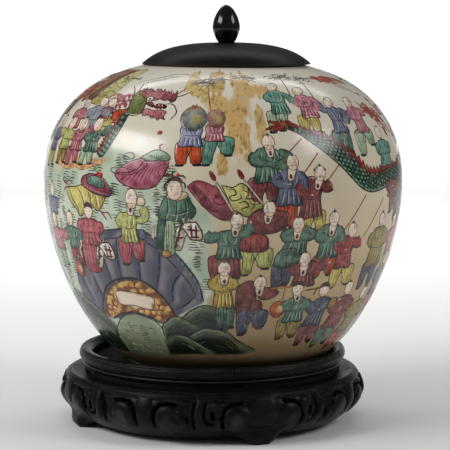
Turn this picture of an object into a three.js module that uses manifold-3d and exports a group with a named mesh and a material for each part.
// A lidded porcelain jar on a carved round hardwood stand.
// Millimetres, +Z up. The origin is on the floor under the jar's axis, and the front looks along -Y.
// Angles round the stand are in degrees from the front, positive to the right (+X).

import * as THREE from 'three';
import { mergeVertices } from 'three/addons/utils/BufferGeometryUtils.js';
import Module from 'manifold-3d';

const wasm = await Module();
wasm.setup();

// Fits
const clearance = 0.3;

// Facets round each turned piece
const jarFacets = 48;
const lidFacets = 48;
const finialFacets = 24;
const panelFacets = 60;

// Stand: layout
const legCount = 4;
const frontLegAngle = 19.6;
const standOffset = 7.5;
const legHalfAngle = 15;

// Stand: floor panel and the batten under it
const panelThickness = 3.5;
const tongueWidth = 1.7;
const tongueThickness = 1.7;
const battenWidth = 14;
const battenHeight = 6;
const dovetailDepth = 1.4;
const dovetailFlare = 0.8;

// Stand: moulded ring round the floor panel, and how far its lip stays off the jar's wall
const lipGap = 1.75;
const ringWidth = 9.7;
const ringHeight = 11.2;
const lipHalfWidth = 2.7;
const lipHalfHeight = 4;
const beadInset = 2.2;
const beadHeight = 2.5;
const scarfAngle = 6;
const scarfHeight = 5.5;
const ringJointAngle = 9.5;
const wedgeSide = 2;
const wedgeInset = 2.6;

// Stand: waist
const waistHeight = 4.2;
const waistInset = 3.8;
const waistWidth = 7;
const waistCove = 1.5;
const neckHalfAngle = 6;
const tenonThickness = 2;
const tenonWidth = 9;
const tenonHeight = 4;

// Stand: aprons and legs
const skirtHeight = 35.3;
const shoulderStep = 8.8;
const bulge = 8;
const bulgeHeight = 22.4;
const skirtTuck = 17.5;
const skirtEdgeMiddle = 3;
const skirtEdgeRise = 3.8;
const edgeThickness = 3.6;
const skirtThickness = 10;
const footHeight = 11;
const footToe = 1.6;
const footTread = 9.2;
const footFlatHalfAngle = 3;
const footFlareHalfAngle = 11.5;

// Apron: pierced carving, placed by shares of the apron's half angle
const hookShare = 0.13;
const hookWidth = 1.8;
const hookHeight = 9;
const hookMiddle = 17;
const curlShare = 0.86;
const curlWidth = 3;
const curlHeight = 7;
const curlMiddle = 21;

// Jar
const footRingRadius = 67.9;
const footRingWidth = 6.5;
const footRingHeight = 0.9;
const footRecess = 5;
const bellyRadius = 123.8;
const bellyHeight = 123.4;
const neckRadius = 43;
const neckBase = 205.3;
const neckHeight = 3.7;
const jarWall = 5;
const jarFloor = 12;
const heelSlope = 26;
const heelFullness = 0.39;
const lowerFullness = 0.49;
const upperFullness = 0.55;
const shoulderSlope = 8;
const shoulderFullness = 0.66;

// Lid
const lidRadius = 58;
const lidRimHeight = 0.75;
const lidRimWidth = 3.5;
const lidShell = 2.6;
const lidCover = 9.14;
const lidEdgeSlope = 42;
const lidEdgeFullness = 9.6;
const lidCrownWidth = 39;
const lidSeatWidth = 8;
const lidHollow = 5;
const lidOffset = 2.3;

// Finial
const finialHeight = 25.8;
const finialRadius = 9.5;
const finialFootRadius = 5.2;
const finialWidest = 10.2;
const finialTenonRadius = 3;
const finialTenonLength = 4;

// Heights of the seats, each on top of the last, and of the neck over the jar's own foot
const waistTop = skirtHeight + waistHeight;
const ringTop = waistTop + ringHeight;
const panelTop = waistTop + panelThickness;
const neckTop = neckBase + neckHeight;

const legSpan = 360 / legCount;
const apronHalfAngle = legSpan / 2 - legHalfAngle;

const vector = (x, y) => new THREE.Vector2(x, y);
const radians = THREE.MathUtils.degToRad;
const degreesFor = (length, radius) => THREE.MathUtils.radToDeg(length / radius);

// A handle point at a distance and a slope from an end point.
function handle(point, length, degrees) {
  return vector(
    point.x + length * Math.cos(radians(degrees)),
    point.y + length * Math.sin(radians(degrees)),
  );
}

// A solid from any closed geometry: shared corners are merged and collapsed triangles dropped.
function solidFrom(geometry) {
  const bare = geometry.clone();
  bare.deleteAttribute('normal');
  bare.deleteAttribute('uv');
  const merged = mergeVertices(bare, 1e-4);
  const corners = [];
  for (let i = 0; i < merged.index.count; i += 3) {
    const [a, b, c] = [0, 1, 2].map((k) => merged.index.getX(i + k));
    if (a !== b && b !== c && c !== a) corners.push(a, b, c);
  }
  return new wasm.Manifold(new wasm.Mesh({
    numProp: 3,
    vertProperties: new Float32Array(merged.attributes.position.array),
    triVerts: Uint32Array.from(corners),
  }));
}

// A geometry from a solid, for a mesh.
function geometryFrom(solid) {
  const { vertProperties, triVerts } = solid.getMesh();
  const geometry = new THREE.BufferGeometry();
  geometry.setAttribute('position', new THREE.BufferAttribute(vertProperties, 3));
  geometry.setIndex(new THREE.BufferAttribute(triVerts, 1));
  geometry.computeVertexNormals();
  return geometry;
}

// A body turned about Z from a profile of (radius, height) points, listed from the bottom upwards on
// its outside.
function turned(profile, segments) {
  const lathe = new THREE.LatheGeometry(profile, segments);
  lathe.rotateX(Math.PI / 2);
  const solid = solidFrom(lathe);
  return geometryFrom(solid);
}

// A body swept about Z through the given angles. outlineAt(angle) lists a closed outline of (radius,
// height) points, counter-clockwise, with as many points at each angle.
function swept(angles, outlineAt) {
  const outlines = angles.map(outlineAt);
  const count = outlines[0].length;
  const positions = [];
  outlines.forEach((outline, k) => {
    const angle = radians(angles[k]);
    outline.forEach((p) => positions.push(p.x * Math.sin(angle), -p.x * Math.cos(angle), p.y));
  });
  const index = [];
  for (let k = 0; k < angles.length - 1; k += 1) {
    for (let i = 0; i < count; i += 1) {
      const here = k * count + i;
      const next = k * count + ((i + 1) % count);
      index.push(here, here + count, next + count, here, next + count, next);
    }
  }
  const last = (angles.length - 1) * count;
  for (const [a, b, c] of THREE.ShapeUtils.triangulateShape(outlines[0], [])) index.push(a, b, c);
  for (const [a, b, c] of THREE.ShapeUtils.triangulateShape(outlines[angles.length - 1], [])) {
    index.push(last + c, last + b, last + a);
  }
  const geometry = new THREE.BufferGeometry();
  geometry.setAttribute('position', new THREE.Float32BufferAttribute(positions, 3));
  geometry.setIndex(index);
  return solidFrom(geometry);
}

// Angles from one end to the other in equal steps.
function evenAngles(from, to, steps) {
  return Array.from({ length: steps + 1 }, (_, i) => from + ((to - from) * i) / steps);
}

// A rectangular outline between two radii and two heights.
function rectangle(innerRadius, outerRadius, bottom, top) {
  return [
    vector(innerRadius, bottom),
    vector(outerRadius, bottom),
    vector(outerRadius, top),
    vector(innerRadius, top),
  ];
}

// A box whose middle lies straight in front of the axis, at an angle round it.
function radialBox(angle, innerRadius, outerRadius, width, bottom, top) {
  const box = new THREE.BoxGeometry(width, outerRadius - innerRadius, top - bottom);
  box.translate(0, -(innerRadius + outerRadius) / 2, (bottom + top) / 2);
  box.rotateZ(radians(angle));
  return solidFrom(box);
}

// How far along a curve its points stop passing a test.
function shareWhile(curve, test) {
  let low = 0;
  let high = 1;
  for (let i = 0; i < 40; i += 1) {
    const middle = (low + high) / 2;
    if (test(curve.getPoint(middle))) low = middle;
    else high = middle;
  }
  return (low + high) / 2;
}

// Jar: one thrown and glazed body, open at its neck, with a recessed foot.
const heel = vector(footRingRadius, footRingHeight);
const belly = vector(bellyRadius, bellyHeight);
const neckFoot = vector(neckRadius, neckBase);
const jarLower = new THREE.CubicBezierCurve(
  heel,
  handle(heel, heelFullness * (bellyRadius - footRingRadius), heelSlope),
  vector(bellyRadius, bellyHeight - lowerFullness * (bellyHeight - footRingHeight)),
  belly,
);
const jarUpper = new THREE.CubicBezierCurve(
  belly,
  vector(bellyRadius, bellyHeight + upperFullness * (neckBase - bellyHeight)),
  handle(neckFoot, shoulderFullness * (bellyRadius - neckRadius), -shoulderSlope),
  neckFoot,
);

function shoulderHeightAt(radius) {
  return jarUpper.getPoint(shareWhile(jarUpper, (p) => p.x > radius)).y;
}

function wallRadiusAt(height) {
  return jarLower.getPoint(shareWhile(jarLower, (p) => p.y < height)).x;
}

function jarGeometry() {
  const lower = jarLower.getPoints(9);
  const upper = jarUpper.getPoints(9);
  const outside = [...lower, ...upper.slice(1)];
  const bore = neckRadius - jarWall;

  // The inside follows the outside at the wall's thickness, square to it.
  const inside = outside.map((point, i) => {
    const before = outside[Math.max(i - 1, 0)];
    const after = outside[Math.min(i + 1, outside.length - 1)];
    const along = after.clone().sub(before).normalize();
    return vector(point.x - jarWall * along.y, point.y + jarWall * along.x);
  });
  const hollow = inside.filter((p) => p.y > jarFloor + jarWall / 2 && p.x > bore + jarWall / 2);
  const floorEdge = vector(hollow[0].x - jarWall, jarFloor);

  const profile = [
    vector(0, footRecess),
    vector(footRingRadius - footRingWidth - footRingHeight, footRecess),
    vector(footRingRadius - footRingWidth, 0),
    vector(footRingRadius - footRingHeight, 0),
    ...outside,
    vector(neckRadius, neckTop),
    vector(bore, neckTop),
    vector(bore, hollow[hollow.length - 1].y),
    ...hollow.reverse(),
    floorEdge,
    vector(0, jarFloor),
  ];
  return turned(profile, jarFacets);
}

// Lid: a turned cap with a recess that drops over the neck and rests on the neck's rim. Its own rim
// stops just short of the jar's shoulder, also where the lid has slid to one side.
const lidBase = shoulderHeightAt(lidRadius - lidOffset) + clearance;
const lidRimInner = lidRadius - lidRimWidth;
const recessRadius = neckRadius + lidOffset + clearance;

const lidSeat = neckTop - lidBase;
const crownTop = lidSeat + lidCover;

function lidGeometry() {
  const rimTop = vector(lidRadius, lidRimHeight);
  const crown = new THREE.CubicBezierCurve(
    rimTop,
    handle(rimTop, lidEdgeFullness, 180 - lidEdgeSlope),
    vector(lidCrownWidth, crownTop),
    vector(finialFootRadius + clearance, crownTop),
  );
  const crownHeightAt = (radius) => crown.getPoint(shareWhile(crown, (p) => p.x > radius)).y;
  const boreRadius = finialTenonRadius + clearance;
  const seatInner = recessRadius - lidSeatWidth;
  const rimRise = shoulderHeightAt(lidRimInner - lidOffset) + clearance - lidBase;
  const cheek = lidRimInner - lidShell / 2;
  const profile = [
    vector(lidRimInner, rimRise),
    vector(lidRadius - lidRimHeight / 2, 0),
    vector(lidRadius, lidRimHeight / 2),
    ...crown.getPoints(9),
    vector(boreRadius, crownTop),
    vector(boreRadius, crownTop - finialTenonLength),
    vector(boreRadius * 3, crownTop - finialTenonLength),
    vector(seatInner - lidHollow * 2.4, lidSeat + lidHollow),
    vector(seatInner - lidHollow / 2, lidSeat + lidHollow / 2),
    vector(seatInner, lidSeat),
    vector(recessRadius, lidSeat),
    vector(recessRadius, (lidSeat + crownHeightAt(cheek) - lidShell) / 2),
    vector(cheek, crownHeightAt(cheek) - lidShell),
    vector(lidRimInner, rimRise),
  ];
  return turned(profile, lidFacets);
}

// Finial: an egg on a short foot, with a tenon that goes through the lid's crown.
function finialGeometry() {
  const foot = vector(finialFootRadius, 0);
  const widest = vector(finialRadius, finialWidest);
  const low = new THREE.CubicBezierCurve(
    foot,
    handle(foot, finialFootRadius / 2, 36),
    vector(finialRadius, finialWidest * 0.78),
    widest,
  );
  const high = new THREE.CubicBezierCurve(
    widest,
    vector(finialRadius, finialWidest + (finialHeight - finialWidest) * 0.38),
    vector(finialRadius / 2, finialHeight),
    vector(0, finialHeight),
  );
  const profile = [
    vector(0, -finialTenonLength),
    vector(finialTenonRadius, -finialTenonLength),
    vector(finialTenonRadius, 0),
    ...low.getPoints(4),
    ...high.getPoints(8).slice(1),
  ];
  return turned(profile, finialFacets);
}

// The slope from the ring's lip down to its inner radius.
function lipSlope(innerRadius) {
  return new THREE.QuadraticBezierCurve(
    vector(innerRadius + ringWidth - lipHalfWidth, ringTop),
    vector(innerRadius, ringTop),
    vector(innerRadius, ringTop - 1.5 * lipHalfHeight),
  ).getPoints(5);
}

// Radii of the stand, each from the inside outwards. The ring is made to fit the jar: on the side that
// the jar stands nearer to, its slope clears the jar's wall by the lip's gap.
const ringInner = Math.max(
  ...lipSlope(0).map((p) => wallRadiusAt(p.y - panelTop) + standOffset + lipGap - p.x),
);
const ringOuter = ringInner + ringWidth;
const panelRadius = ringInner - clearance;
const waistOuter = ringOuter - waistInset;
const waistInner = waistOuter - waistWidth;
const shoulderRadius = waistOuter + shoulderStep;
const bulgeRadius = shoulderRadius + bulge;
const skirtEdgeRadius = bulgeRadius - skirtTuck;

// Ring: a moulded hoop in as many arcs as there are legs, joined end to end by scarfs. Each arc's upper
// half and lower half are shifted round by the scarf's angle, and a wedge locks the two.
function ringOutline() {
  const bottom = waistTop;
  const lipRadius = ringOuter - lipHalfWidth;
  const lipMiddle = ringTop - lipHalfHeight;
  const beadRadius = ringOuter - beadInset;
  const lip = new THREE.EllipseCurve(
    lipRadius, lipMiddle, lipHalfWidth, lipHalfHeight, radians(-50), radians(90),
  ).getPoints(6);
  const rebateTop = bottom + tongueThickness + clearance;
  return [
    vector(ringInner + tongueWidth + clearance, bottom),
    vector(beadRadius - beadHeight / 2, bottom),
    vector(beadRadius, bottom + beadHeight / 2),
    vector(beadRadius - beadHeight / 2.5, bottom + beadHeight),
    ...lip,
    ...lipSlope(ringInner).slice(1),
    vector(ringInner, rebateTop),
    vector(ringInner + tongueWidth + clearance, rebateTop),
  ];
}

const scarfPlane = waistTop + scarfHeight;
const wedgeLength = ringWidth - wedgeInset;

function ringSegmentGeometry() {
  const outline = ringOutline();
  const gapAngle = degreesFor(clearance / 2, ringInner);
  const from = -scarfAngle + gapAngle;
  const to = legSpan - gapAngle;
  const full = swept(evenAngles(from, to, 20), () => outline);
  const reach = ringWidth;
  const upperWaste = swept(
    [from - 1, gapAngle],
    () => rectangle(ringInner - reach, ringOuter + reach, scarfPlane - clearance / 2, ringTop + reach),
  );
  const lowerWaste = swept(
    [legSpan - scarfAngle - gapAngle, to + 1],
    () => rectangle(ringInner - reach, ringOuter + reach, waistTop - reach, scarfPlane + clearance / 2),
  );
  let segment = full.subtract(upperWaste).subtract(lowerWaste);
  for (const angle of [-scarfAngle / 2, legSpan - scarfAngle / 2]) {
    segment = segment.subtract(radialBox(
      angle,
      ringInner - reach,
      ringInner + wedgeLength + clearance,
      wedgeSide + 2 * clearance,
      scarfPlane - wedgeSide / 2 - clearance,
      scarfPlane + wedgeSide / 2 + clearance,
    ));
  }
  const mortise = radialBox(
    frontLegAngle - ringJointAngle,
    tenonInner - clearance,
    tenonInner + tenonThickness + clearance,
    tenonWidth + 2 * clearance,
    waistTop - reach,
    waistTop + tenonHeight + clearance,
  );
  return geometryFrom(segment.subtract(mortise));
}

function wedgeGeometry() {
  const wedge = new THREE.BoxGeometry(wedgeSide, wedgeLength, wedgeSide);
  wedge.translate(0, -(ringInner + clearance + wedgeLength / 2), scarfPlane);
  return wedge;
}

// Floor panel: a disc whose tongue is held under the ring, with a dovetail groove for the batten.
function dovetail(spare, length) {
  const half = battenWidth / 2 - dovetailFlare * 2;
  const shape = new THREE.Shape([
    vector(-half - spare, -spare),
    vector(half + spare, -spare),
    vector(half + dovetailFlare + spare, dovetailDepth + spare),
    vector(-half - dovetailFlare - spare, dovetailDepth + spare),
  ]);
  const key = new THREE.ExtrudeGeometry(shape, { depth: 2 * length, bevelEnabled: false });
  key.translate(0, 0, -length);
  key.rotateX(Math.PI / 2);
  key.rotateZ(Math.PI / 2);
  key.translate(0, 0, waistTop);
  return solidFrom(key);
}

function panelGeometry() {
  const tongueTop = waistTop + tongueThickness;
  const disc = solidFrom(turned([
    vector(0, waistTop),
    vector(panelRadius + tongueWidth, waistTop),
    vector(panelRadius + tongueWidth, tongueTop),
    vector(panelRadius, tongueTop),
    vector(panelRadius, panelTop),
    vector(0, panelTop),
  ], panelFacets));
  return geometryFrom(disc.subtract(dovetail(clearance, panelRadius * 2)));
}

const battenHalfLength = Math.sqrt(waistInner ** 2 - (battenWidth / 2) ** 2) - 2 * clearance;
function battenGeometry() {
  const bar = new THREE.BoxGeometry(2 * battenHalfLength, battenWidth, battenHeight);
  bar.translate(0, 0, waistTop - battenHeight / 2);
  return geometryFrom(solidFrom(bar).add(dovetail(0, battenHalfLength)));
}

// Waist: coved strips between the necks of the legs.
function waistGeometry() {
  const middle = skirtHeight + waistHeight / 2;
  const outline = [
    vector(waistInner, skirtHeight),
    vector(waistOuter, skirtHeight),
    vector(waistOuter, skirtHeight + waistHeight / 5),
    vector(waistOuter - waistCove, middle),
    vector(waistOuter - waistCove / 2, waistTop),
    vector(waistInner, waistTop),
  ];
  const gapAngle = degreesFor(clearance, waistInner);
  const from = neckHalfAngle + gapAngle;
  return geometryFrom(swept(evenAngles(from, legSpan - from, 18), () => outline));
}

// Skirt: the section that aprons and legs share. Its outside swells from the shoulder to the bulge and
// tucks in again to an edge that rises from the middle of each apron towards the legs.
const skirtTop = vector(shoulderRadius, skirtHeight);
const skirtBulge = vector(bulgeRadius, bulgeHeight);
const skirtUpper = new THREE.CubicBezierCurve(
  skirtTop,
  handle(skirtTop, shoulderStep * 0.4, 15),
  vector(bulgeRadius, bulgeHeight + (skirtHeight - bulgeHeight) * 0.48),
  skirtBulge,
);
const skirtFoot = vector(skirtEdgeRadius, skirtEdgeMiddle);
const skirtLower = new THREE.CubicBezierCurve(
  skirtBulge,
  vector(bulgeRadius, bulgeHeight - (bulgeHeight - skirtEdgeMiddle) * 0.39),
  handle(skirtFoot, skirtTuck * 0.3, 25),
  skirtFoot,
);

function edgeHeightAt(angleFromMiddle) {
  const share = Math.abs(angleFromMiddle) / (legSpan / 2);
  return skirtEdgeMiddle + skirtEdgeRise * share ** 2;
}

const upperSteps = 5;
const lowerSteps = 7;

// The closed section of the skirt, counter-clockwise from its inner top corner.
function skirtOutline(angleFromMiddle) {
  const edge = edgeHeightAt(angleFromMiddle);
  const end = shareWhile(skirtLower, (p) => p.y > edge);
  const upper = skirtUpper.getPoints(upperSteps).reverse();
  const lower = [];
  for (let i = lowerSteps; i > 0; i -= 1) lower.push(skirtLower.getPoint((end * i) / lowerSteps));
  const edgeOuter = lower[0];
  const innerBulge = bulgeRadius - skirtThickness;
  return [
    vector(waistInner, skirtHeight),
    vector(waistInner, skirtHeight - skirtThickness / 4),
    vector(innerBulge - skirtThickness / 3, bulgeHeight + skirtThickness * 0.6),
    vector(innerBulge, bulgeHeight),
    vector(innerBulge - skirtThickness / 3, bulgeHeight - skirtThickness * 0.8),
    vector(edgeOuter.x - edgeThickness, edge + edgeThickness / 3),
    vector(edgeOuter.x - edgeThickness / 2, edge),
    ...lower,
    ...upper,
  ];
}

// The section through the middle of a leg, with the same count of points as the skirt's.
function footOutline() {
  const ankleEnd = shareWhile(skirtLower, (p) => p.y > footHeight);
  const ankle = skirtLower.getPoint(ankleEnd);
  const treadOuter = ankle.x - footToe;
  const treadInner = treadOuter - footTread;
  const upper = skirtUpper.getPoints(upperSteps).reverse();
  const lower = [
    vector(treadOuter, 0),
    vector(ankle.x + footToe * 0.4, footHeight * 0.28),
    vector(ankle.x + footToe, footHeight * 0.6),
    vector(ankle.x, footHeight * 0.88),
  ];
  for (let i = lowerSteps - 4; i > 0; i -= 1) {
    lower.push(skirtLower.getPoint((ankleEnd * i) / (lowerSteps - 3)));
  }
  return [
    vector(waistInner, skirtHeight),
    vector(waistInner, skirtHeight - skirtThickness / 4),
    vector(treadInner, bulgeHeight + skirtThickness * 0.4),
    vector(treadInner, bulgeHeight),
    vector(treadInner, bulgeHeight / 2),
    vector(treadInner, bulgeHeight / 4),
    vector(treadInner, 0),
    ...lower,
    ...upper,
  ];
}

// Legs: the skirt drawn down into a foot, with a neck in the waist and a tenon up into the ring.
const tenonInner = ringInner + tongueWidth + clearance + (waistInset - tenonThickness) / 2;

function legGeometry() {
  const foot = footOutline();
  const gapAngle = degreesFor(clearance / 2, skirtEdgeRadius);
  const bodyAt = (angle) => {
    const flare = (Math.abs(angle) - footFlatHalfAngle) / (footFlareHalfAngle - footFlatHalfAngle);
    const away = Math.sin((Math.PI / 2) * THREE.MathUtils.clamp(flare, 0, 1)) ** 1.4;
    const skirt = skirtOutline(legSpan / 2 - Math.abs(angle));
    return foot.map((p, i) => p.clone().lerp(skirt[i], away));
  };
  const side = legHalfAngle - gapAngle;
  const flareAngles = evenAngles(footFlatHalfAngle, footFlareHalfAngle, 5);
  const right = [...flareAngles, side];
  const left = right.map((angle) => -angle).reverse();
  const body = swept([...left, ...right], bodyAt);
  const sunk = waistHeight / 4;
  const neck = swept(
    evenAngles(-neckHalfAngle, neckHalfAngle, 4),
    () => rectangle(waistInner, waistOuter - waistCove / 2, skirtHeight - sunk, waistTop),
  );
  const tenon = radialBox(
    0, tenonInner, tenonInner + tenonThickness, tenonWidth, waistTop - sunk, waistTop + tenonHeight,
  );
  return geometryFrom(body.add(neck).add(tenon));
}

// Aprons: the skirt between two legs, pierced by hooked slots beside its middle and curls at its ends.
function piercing(angle, width, height, middle) {
  const straight = (height - width) / 2;
  const shape = new THREE.Shape();
  shape.absarc(0, straight, width / 2, 0, Math.PI);
  shape.absarc(0, -straight, width / 2, Math.PI, 2 * Math.PI);
  const slot = new THREE.ExtrudeGeometry(
    shape, { depth: bulgeRadius, bevelEnabled: false, curveSegments: 3 },
  );
  slot.rotateX(Math.PI / 2);
  slot.translate(0, -panelRadius / 2, middle);
  slot.rotateZ(radians(angle));
  return solidFrom(slot);
}

function apronGeometry() {
  const gapAngle = degreesFor(clearance / 2, skirtEdgeRadius);
  const side = apronHalfAngle - gapAngle;
  let apron = swept(evenAngles(-side, side, 15), skirtOutline);
  for (const sign of [-1, 1]) {
    const hookAngle = sign * hookShare * apronHalfAngle;
    const curlAngle = sign * curlShare * apronHalfAngle;
    apron = apron.subtract(piercing(hookAngle, hookWidth, hookHeight, hookMiddle));
    apron = apron.subtract(piercing(curlAngle, curlWidth, curlHeight, curlMiddle));
  }
  return geometryFrom(apron);
}

// Materials
const glaze = new THREE.MeshStandardMaterial({ color: 0xd9d2c2, roughness: 0.22, metalness: 0 });
const lidWood = new THREE.MeshStandardMaterial({ color: 0x17120f, roughness: 0.38, metalness: 0 });
const finialWood = new THREE.MeshStandardMaterial({ color: 0x0f0c0b, roughness: 0.16, metalness: 0 });
const standWood = new THREE.MeshStandardMaterial({ color: 0x1c1815, roughness: 0.42, metalness: 0 });
const panelWood = new THREE.MeshStandardMaterial({ color: 0x2b211a, roughness: 0.6, metalness: 0 });
const wedgeWood = new THREE.MeshStandardMaterial({ color: 0x6a5233, roughness: 0.6, metalness: 0 });

function named(name, geometry, material) {
  const mesh = new THREE.Mesh(geometry, material);
  mesh.name = name;
  return mesh;
}

// Assembly
const potiche = new THREE.Group();

const stand = new THREE.Group();
stand.position.x = -standOffset;
potiche.add(stand);

stand.add(named('floor_panel', panelGeometry(), panelWood));
stand.add(named('panel_batten', battenGeometry(), panelWood));

const legShape = legGeometry();
const apronShape = apronGeometry();
const waistShape = waistGeometry();
const ringShape = ringSegmentGeometry();
const wedgeShape = wedgeGeometry();

for (let i = 0; i < legCount; i += 1) {
  const legAngle = frontLegAngle + i * legSpan;
  const jointAngle = ringJointAngle + i * legSpan;
  const placed = [
    [named(`leg_${i + 1}`, legShape, standWood), legAngle],
    [named(`apron_${i + 1}`, apronShape, standWood), legAngle + legSpan / 2],
    [named(`waist_strip_${i + 1}`, waistShape, standWood), legAngle],
    [named(`ring_segment_${i + 1}`, ringShape, standWood), jointAngle],
    [named(`ring_wedge_${i + 1}`, wedgeShape, wedgeWood), jointAngle - scarfAngle / 2],
  ];
  for (const [mesh, angle] of placed) {
    mesh.rotation.z = radians(angle);
    stand.add(mesh);
  }
}

const jar = named('jar_body', jarGeometry(), glaze);
jar.position.z = panelTop;
potiche.add(jar);

const lid = new THREE.Group();
lid.position.set(lidOffset, 0, panelTop + lidBase);
potiche.add(lid);
lid.add(named('lid_cap', lidGeometry(), lidWood));

const finial = named('lid_finial', finialGeometry(), finialWood);
finial.position.z = crownTop;
lid.add(finial);

export default potiche;
